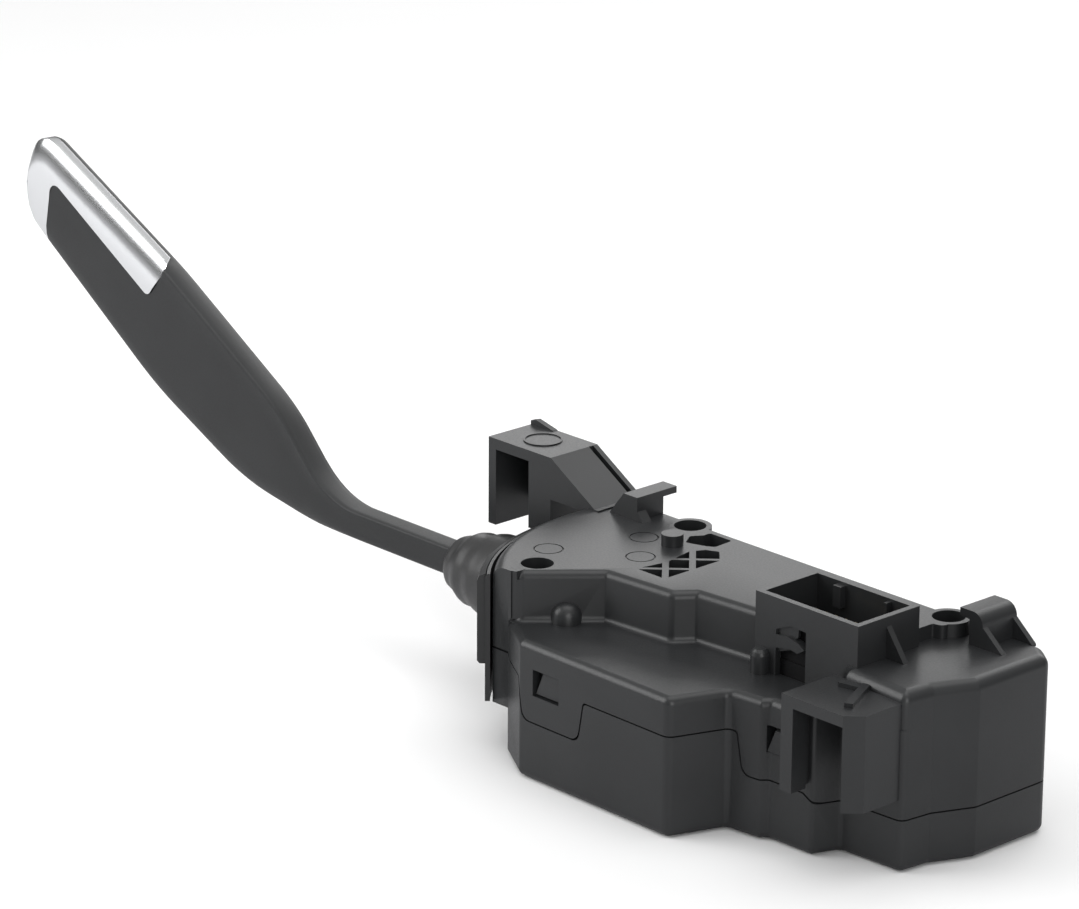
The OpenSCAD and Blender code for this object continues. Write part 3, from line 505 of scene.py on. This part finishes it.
def make_upper_housing():
    """Fills the corner by the flange, takes off the CAD catch and puts the corrected one in its place."""
    corner_fill = [(-2.5, -5), (-1.2, -6.75), (-0.3, -6.6), (0.8, -6.2), (1.7, -5.6), (2.6, -4.75),
                   (2.6, -3.5), (-2.5, -3.5)]
    just_above = 0.02
    cad_catch = block(78.5, 89, 34.5, 45.5, DECK_Z + just_above, 5)
    remade_housing(
        "upper_housing",
        ("UNION", [plan(corner_fill, LEDGE_Z - 2 * SUNK, -just_above)]),
        ("DIFFERENCE", [
            cad_catch,
            swept(edge_cut(0, PLATE_EDGE_R), run_of(PLATE, **PLATE_RUN), "plate_edge"),
            swept(edge_cut(LEDGE_Z, LEDGE_EDGE_R), run_of(BODY, **LEDGE_RUN), "ledge_edge"),
            swept(edge_cut(DECK_Z, DECK_EDGE_R), run_of(DECK, **DECK_RUN), "deck_edge"),
        ]),
        ("UNION", [
            swept(foot(LEDGE_Z, PLATE_FOOT_R), run_of(PLATE, **PLATE_FOOT_RUN), "plate_foot"),
            rear_catch(),
        ]))


def make_lower_housing():
    section = edge_cut(FLOOR_Z, FLOOR_EDGE_R, up=-1)
    floor_edge = swept(section, lambda inset: whole(BODY, inset), "floor_edge", closed=True)
    remade_housing("lower_housing", ("DIFFERENCE", [floor_edge]))


def rib(start, end, width, z0, z1):
    """A straight rib between two points in plan."""
    a, b = Vector(start), Vector(end)
    sideways = unit(Vector((a.y - b.y, b.x - a.x))) * width / 2
    return plan([a - sideways, b - sideways, b + sideways, a + sideways], z0, z1)


def make_latch_box():
    """The box with its two ribs set slanting, in place of the CAD ribs that lie square to it."""
    roof = -5
    rib_low, rib_top = roof - 0.3, roof + 0.9
    cad_ribs = plan([(74, -4), (88, -4), (88, 9.5), (74, 9.5)], roof, roof + 3)
    remade_housing(
        "latch_box",
        ("DIFFERENCE", [cad_ribs]),
        ("UNION", [rib((84.9, -1.3), (80.2, 8.4), 1.7, rib_low, rib_top),
                   rib((76, 5.8), (81, 6.8), 1.5, rib_low, rib_top)]))


make_upper_housing()
make_lower_housing()
make_latch_box()


# Shutter with its belt, and the boot that covers the lever's foot

ARM_Y, ARM_Z, ARM_W, ARM_H = 17.0, -14.9, 7.0, 7.4
ARM_NEAR, ARM_FAR = ARM_Y - ARM_W / 2, ARM_Y + ARM_W / 2
ARM_LOW, ARM_TOP = ARM_Z - ARM_H / 2, ARM_Z + ARM_H / 2
ARM_FIT = 0.05
SHEET_R, SHUTTER_R, BELT_R = 45.8, 46.8, 48.4
SHEET_LOW, SHEET_TOP = -28.4, -1.8
BELT_LOW, BELT_TOP = -20.8, -2.0
SHEET_SPAN, BELT_SPAN = (-46, 17), (-45, 8)

# The boot's radius at places along x
BOOT = [(-19.5, 9.4), (-24.2, 9.4), (-26, 9.3), (-28, 8.9), (-29.4, 8.75), (-30.6, 8.5), (-32, 8.0),
        (-33.4, 7.75), (-34.6, 7.75), (-35.6, 7.5), (-36.6, 7.0), (-37.6, 6.4), (-38.4, 6.15), (-39.2, 6.0),
        (-39.9, 5.75), (-40.5, 5.3), (-40.8, 4.8)]
# The boot's folds: depth as a share of the radius, how many go round, and the turn from place to place
BOOT_FOLDS = [(0.006, 3, 1), (0.004, 7, -1.7)]


def sector(profile, span, name, steps=48):
    """A section of (radius, z) points carried round the pivot from one angle to another."""
    a0, a1 = span
    angles = [math.radians(a0 + (a1 - a0) * k / steps) for k in range(steps + 1)]
    loops = []
    for a in angles:
        loops.append([(PIVOT.x - r * math.cos(a), PIVOT.y + r * math.sin(a), z) for r, z in profile])
    return stack(loops, name)


def arm_space(x0, x1, above=ARM_FIT):
    """Room for the arm from x0 to x1, with a little more above it where the piece needs that."""
    return block(x0, x1, ARM_NEAR - ARM_FIT, ARM_FAR + ARM_FIT, ARM_LOW - ARM_FIT, ARM_TOP + above)


def make_shutter():
    sheet = [(SHEET_R, SHEET_LOW), (SHUTTER_R, SHEET_LOW), (SHUTTER_R, SHEET_TOP - 0.8),
             (SHUTTER_R - 0.35, SHEET_TOP - 0.1), (SHEET_R, SHEET_TOP)]
    belt = [(SHUTTER_R - 0.1, BELT_LOW), (BELT_R - 0.5, BELT_LOW), (BELT_R, BELT_LOW + 0.6),
            (BELT_R, BELT_TOP - 1.6), (BELT_R - 0.4, BELT_TOP - 0.6), (SHUTTER_R - 0.1, BELT_TOP)]
    mesh = combined(
        sector(sheet, SHEET_SPAN, "shutter"),
        ("UNION", [sector(belt, BELT_SPAN, "belt")]),
        ("DIFFERENCE", [arm_space(-40, 0)]))
    piece("shutter_sheet", clean(mesh, smooth_to=30), slot_of["shutter_plate"], "lever", "shutter_plate")


def boot_ring(index, x, r, count=72):
    ring = []
    for k in range(count):
        a = 2 * math.pi * k / count
        fold = r * (1 + sum(depth * math.sin(waves * a + turn * index) for depth, waves, turn in BOOT_FOLDS))
        ring.append((x, ARM_Y + fold * math.cos(a), ARM_Z + fold * math.sin(a)))
    return ring


def make_boot():
    """The boot sits on the belt and closes round the arm."""
    seat_r = BELT_R + 0.1
    angles = [2 * math.pi * k / 128 for k in range(128)]
    circle = [(PIVOT.x + seat_r * math.cos(a), PIVOT.y + seat_r * math.sin(a)) for a in angles]
    seat = plan(circle, -60, 20)
    rings = [boot_ring(i, x, r) for i, (x, r) in enumerate(BOOT)]
    mesh = combined(stack(rings, "boot"), ("DIFFERENCE", [seat, arm_space(-50, -15, above=0.1)]))
    piece("boot_skin", clean(mesh, smooth_to=50, flat=0), slot_of["rubber_boot"], "lever", "rubber_boot")


make_shutter()
make_boot()


# Small pieces of the housing that the CAD nodes lack, and a dark sheet of painted shade behind the socket's
# notch

def make_socket_tab():
    """The tab that stands across the notch in the plug socket's front wall."""
    outline = [(55, -1.9), (58, -1.6), (60.8, -2.2), (62.4, -3.2), (60.6, -4.3), (58.4, -3.9), (55, -4.6)]
    piece("socket_tab", side(outline, 10.2, 11.9), slot_of["plug_socket"], "housing")


def make_notch_shade_wall():
    """A guessed dark wall behind that notch: painted shade, a dark sheet standing for the shade deep in the
    notch, which also hides the contacts inside.
    """
    # Painted shade: a sheet of the dark header plastic, put where the notch only lies in shade
    piece("notch_shade_wall", block(54.6, 63, 12.1, 12.5, -10.6, 1), "header_plastic", "housing")


def make_bracket_lip():
    """The raised lip on the far edge of the clip bracket's top."""
    outline = [(-46, 7.9), (-46, 8.85), (-44.4, 9.3), (-39.5, 8.2), (-39, 7.9)]
    piece("bracket_lip", side(outline, 41.05, 42.3), slot_of["clip_bracket"], "housing")


make_socket_tab()
make_notch_shade_wall()
make_bracket_lip()


# Grip and trim. The grip rises from the knee: places on it are measured along it and across it from there

RISE, GRIP_LEN, GRIP_W = math.radians(28.7), 109.0, 28.2
KNEE = Vector((-82.0, ARM_Z))
ALONG = Vector((-math.cos(RISE), math.sin(RISE)))
ACROSS = Vector((math.sin(RISE), math.cos(RISE)))
HALF_W = GRIP_W / 2
TIP = GRIP_LEN + 5.3
GRIP_START_X = -23.2


def on_grip(along, across):
    p = KNEE + ALONG * along + ACROSS * across
    return p.x, p.y


# The lever seen from its broad side, as corners with their rounding
GRIP = [(GRIP_START_X, ARM_LOW, 0), (GRIP_START_X, ARM_TOP, 0), (KNEE.x + 3.7, ARM_TOP + 0.3, 20),
        (*on_grip(20.6, HALF_W - 1.5), 40), (*on_grip(62.5, HALF_W), 120), (*on_grip(TIP, HALF_W - 2), 5),
        (*on_grip(TIP - 8, 4.9 - HALF_W), 5), (*on_grip(TIP - 16.1, 3.9 - HALF_W), 0.8),
        (*on_grip(55.3, -HALF_W), 100), (*on_grip(23, 2 - HALF_W), 60), (KNEE.x - 4, ARM_LOW + 0.5, 60)]
# Numbers of the grip's two corners at the tip
TIP_UPPER, TIP_LOWER = 5, 6

# The lever's section. Each point has the edge that it is measured from, its distance from that edge, or for
# the middle its share of the way up, and its depth below the near side, or if negative below the far side
REST = [("middle", 0.5, 0.2), ("bottom", 5.5, 0.2), ("bottom", 3.4, 0.6), ("bottom", 1.8, 1.3),
        ("bottom", 0.7, 2.2), ("bottom", 0.1, 3.1), ("bottom", 0.1, -3.1), ("bottom", 0.7, -2.2),
        ("bottom", 1.8, -1.2), ("bottom", 3.4, -0.5), ("bottom", 5.5, -0.1), ("middle", 0.5, -0.001),
        ("top", 5.0, -0.05), ("top", 3.0, -0.35), ("top", 1.6, -0.95), ("top", 0.6, -1.8), ("top", 0.1, -2.8)]
GRIP_SECTION = [("top", 0, 1.3), ("top", 0.12, 0.6), ("top", 0.45, 0.18), ("top", 0.95, 0.0),
                ("top", 1.6, 0.1), ("top", 2.6, 0.26), ("top", 4.2, 0.38), ("top", 6.2, 0.34)] + REST
TRIM_SECTION = [("top", 0, 1.5), ("top", 0.06, 1.38), ("top", 0.25, 1.28), ("top", 0.9, 1.02),
                ("top", 2.2, 0.66), ("top", 3.6, 0.34), ("top", 5.2, 0.11), ("top", 7.0, 0.0)] + REST
# Where the lever is narrower than this, its section narrows too, and shallow depths shrink with it
FULL_SECTION_W = 15.0
SHALLOW = 0.6

# The trim: its length and height, how far it reaches round the top edge, and the slant of its lower end
TRIM_LEN, TRIM_H = 43, 8.2
TRIM_DEEP = 3.8
TRIM_SLANT = 0.8
# How much larger its recess in the grip is, and the depth of the trim and of the recess
TRIM_FIT = 0.12
TRIM_WALL = 0.85
RECESS_WALL = 0.9

# The park button: its height and width, how far inside the grip's end its space starts, how long that is, and
# how much wider it is in the grip and in the trim
BUTTON_H, BUTTON_W = 11, 3.4
BUTTON_IN, BUTTON_LEN = 14.2, 20
BUTTON_IN_GRIP, BUTTON_IN_TRIM = 0.15, 0.3


def spaced(points, count):
    """Points at even steps along a line."""
    lengths = [0.0]
    for a, b in zip(points, points[1:]):
        lengths.append(lengths[-1] + (b - a).length)
    out, k = [], 0
    for i in range(count):
        want = lengths[-1] * i / (count - 1)
        while k < len(points) - 2 and lengths[k + 1] < want:
            k += 1
        share = (want - lengths[k]) / (lengths[k + 1] - lengths[k])
        out.append(points[k].lerp(points[k + 1], min(1, share)))
    return out


def lever_edges(steps=10):
    """The upper and the lower edge of the lever, from the arm's end to the middle of the tip."""
    arcs = rounded_corners(GRIP, 0, steps)
    tip_upper, tip_lower = arcs[TIP_UPPER][-1], arcs[TIP_LOWER][0]
    middle = tip_upper.lerp(tip_lower, 0.5)
    up = [p for arc in arcs[1:TIP_LOWER] for p in arc] + [middle.lerp(tip_upper, 0.1)]
    down = [p for arc in arcs[:TIP_UPPER:-1] for p in reversed(arc)] + [middle.lerp(tip_lower, 0.1)]
    return up, arcs[0] + down


def lever_skin(name, section, stations=150):
    """A skin over sections across the whole lever."""
    up, down = [spaced(edge, stations) for edge in lever_edges()]
    rows = [[] for _ in section]
    for top, bottom in zip(up, down):
        width = (top - bottom).length
        narrowed = min(1.0, width / FULL_SECTION_W)
        for row, (measured_from, distance, depth) in zip(rows, section):
            if measured_from == "middle":
                p = bottom.lerp(top, distance)
            elif measured_from == "top":
                p = top + (bottom - top) * (distance * narrowed / width)
            else:
                p = bottom + (top - bottom) * (distance * narrowed / width)
            shrunk = narrowed if abs(depth) <= SHALLOW else 1.0
            row.append((p.x, (ARM_NEAR if depth >= 0 else ARM_FAR) + depth * shrunk, p.y))
    return skin(rows, False, name)


def trim_outline(inset):
    """The trim seen from its broad side, reaching past the grip at the top and the tip."""
    low, start = HALF_W - TRIM_H, GRIP_LEN - TRIM_LEN
    past_tip, past_top = TIP + 4, HALF_W + 4
    corners = [(*on_grip(past_tip, past_top), 0), (*on_grip(past_tip, -13), 0),
               (*on_grip(TIP - 16.4, -11.3), 0), (*on_grip(TIP - 15.7, -9), 0.6),
               (*on_grip(TIP - 10.9, low), 2.4), (*on_grip(start - 0.8, low - 1.3), 1.6),
               (*on_grip(start - 2.2, HALF_W - 1.6), 1.2), (*on_grip(start - 2.2, past_top), 0)]
    return [(p.x, p.y) for p in whole(corners, inset, 6)]


def trim_space(grown):
    """The space of the trim. Its lower end slants back across the lever's top edge."""
    straight_y = ARM_NEAR + 0.6
    loops = []
    for y in (ARM_NEAR - 1, straight_y, ARM_NEAR + TRIM_DEEP + grown):
        slant = max(0.0, y - straight_y) * TRIM_SLANT
        loop = []
        for x, z in trim_outline(-grown):
            at_end = (Vector((x, z)) - KNEE).dot(ALONG) < GRIP_LEN - TRIM_LEN + 1.5
            loop.append((x + ALONG.x * slant, y, z + ALONG.y * slant) if at_end else (x, y, z))
        loops.append(loop)
    return stack(loops, "trim_space")


def core(wall):
    """What is left of the lever inside a skin of this wall."""
    chamfer_in, chamfer_deep = 2, 1.2
    section = [(wall + chamfer_in, ARM_NEAR + wall), (wall, ARM_NEAR + wall + chamfer_deep),
               (wall, ARM_FAR - wall - chamfer_deep), (wall + chamfer_in, ARM_FAR - wall)]
    return stack([[(p.x, y, p.y) for p in whole(GRIP, inset, 10)] for inset, y in section], "core")


def button_space(grown):
    """The park button's space at the tip: a slot with round ends."""
    centre_x, centre_z = on_grip(0, -0.5)
    centre_y = ARM_Y + 0.45
    half_h, half_w = BUTTON_H / 2 + grown, BUTTON_W / 2 + grown
    outline = []
    for end in (1, -1):
        for k in range(9):
            a = math.pi * k / 8
            up = end * (half_h - half_w + half_w * math.sin(a))
            outline.append(Vector((centre_x + ACROSS.x * up, centre_y + end * half_w * math.cos(a),
                                   centre_z + ACROSS.y * up)))
    inward = Vector((ALONG.x, 0, ALONG.y))
    return prism([p + inward * (GRIP_LEN - BUTTON_IN) for p in outline], inward * BUTTON_LEN, "button_space")


def make_grip():
    recess = combined(trim_space(TRIM_FIT), ("DIFFERENCE", [core(RECESS_WALL)]))
    mesh = combined(lever_skin("grip", GRIP_SECTION), ("DIFFERENCE", [recess, button_space(BUTTON_IN_GRIP)]))
    piece("grip_skin", clean(mesh, smooth_to=50, flat=0), "lever_plastic", "lever", "lever_grip")


def make_trim():
    mesh = combined(
        lever_skin("trim", TRIM_SECTION),
        ("INTERSECT", [trim_space(0)]),
        ("DIFFERENCE", [core(TRIM_WALL), button_space(BUTTON_IN_TRIM)]))
    piece("trim_band", clean(mesh, smooth_to=40, flat=0), "bright_trim", "lever", "chrome_trim")


make_grip()
make_trim()


# Small roundings on the nodes that keep their CAD shape

BEVEL_W = 0.22
BEVEL_ANGLE = 40


def soften(node_name):
    obj = nodes[node_name]
    bevel = obj.modifiers.new("edges", "BEVEL")
    bevel.width = BEVEL_W * mm
    bevel.segments = 2
    bevel.limit_method = "ANGLE"
    bevel.angle_limit = math.radians(BEVEL_ANGLE)
    bevel.harden_normals = False
    normals = obj.modifiers.new("normals", "WEIGHTED_NORMAL")
    normals.keep_sharp = True
    shade(obj.data, BEVEL_ANGLE)


for node_name in ("clip_bracket", "plug_socket", "park_button"):
    soften(node_name)


# Floor, light and background, in metres. The camera sees both floor and world lighter than other rays do

FLOOR_HALF, FLOOR_GAP = 3.0, 0.0002
FLOOR_COLOUR, FLOOR_SEEN = (0.6, 0.6, 0.61), (0.93, 0.93, 0.93)
WORLD_LOW, WORLD_HIGH, WORLD_SEEN = 0.1, 0.6, 1.0
WORLD_RISE = (0.02, 0.72)

# Each lamp's place, the point that it looks at, its size and its power
LAMPS = {
    "top": ((0.1, 0.1, 1.1), (0.0, 0.02, 0), (1.0, 1.0), 5.0),
    "left": ((-0.46, -0.44, 0.34), (-0.02, 0, 0), (0.5, 0.5), 3.0),
    "right": ((1.0, -0.5, 0.3), (0, 0, 0), (0.6, 0.8), 4.5),
    "sheen": ((-0.30, 0.32, 0.15), (-0.02, 0.02, 0), (0.22, 0.16), 0.22),
    "back": ((-0.3, 1.2, 0.7), (0, 0, 0), (0.8, 0.8), 5),
}


def make_floor():
    half, z = FLOOR_HALF, cad_box[0].z - FLOOR_GAP
    mesh = bpy.data.meshes.new("floor")
    corners = [(-half, -half, z), (half, -half, z), (half, half, z), (-half, half, z)]
    mesh.from_pydata(corners, [], [(0, 1, 2, 3)])
    obj = bpy.data.objects.new("floor", mesh)
    scene.collection.objects.link(obj)
    mat, tree, shader = new_material("floor")
    shader.inputs["Roughness"].default_value = 0.9
    seen = tree.nodes.new("ShaderNodeLightPath").outputs["Is Camera Ray"]
    tree.links.new(mixed(tree, seen, FLOOR_COLOUR, FLOOR_SEEN), shader.inputs["Base Color"])
    mesh.materials.append(mat)


def make_world():
    """A white background, and for all other rays a light that grows from the horizon upward."""
    world = bpy.data.worlds.new("world")
    scene.world = world
    world.use_nodes = True
    tree = world.node_tree
    tree.nodes.clear()
    out = tree.nodes.new("ShaderNodeOutputWorld")
    back = tree.nodes.new("ShaderNodeBackground")
    back.inputs["Color"].default_value = (1, 1, 1, 1)
    direction = tree.nodes.new("ShaderNodeSeparateXYZ")
    tree.links.new(tree.nodes.new("ShaderNodeTexCoord").outputs["Generated"], direction.inputs[0])
    level = tree.nodes.new("ShaderNodeMapRange")
    lit = ramp(tree, direction.outputs["Z"], WORLD_LOW, WORLD_HIGH, *WORLD_RISE)
    tree.links.new(lit, level.inputs["To Min"])
    level.inputs["To Max"].default_value = WORLD_SEEN
    seen = tree.nodes.new("ShaderNodeLightPath").outputs["Is Camera Ray"]
    tree.links.new(seen, level.inputs["Value"])
    tree.links.new(level.outputs[0], back.inputs["Strength"])
    tree.links.new(back.outputs[0], out.inputs[0])


def make_lamp(name, place, target, size, power):
    data = bpy.data.lights.new(name, "AREA")
    data.shape = "RECTANGLE"
    data.size, data.size_y = size
    data.energy = power
    lamp = bpy.data.objects.new(name, data)
    scene.collection.objects.link(lamp)
    lamp.location = place
    lamp.rotation_mode = "QUATERNION"
    lamp.rotation_quaternion = (Vector(target) - Vector(place)).to_track_quat("-Z", "Y")


make_floor()
make_world()
for lamp_name, setting in LAMPS.items():
    make_lamp(lamp_name, *setting)
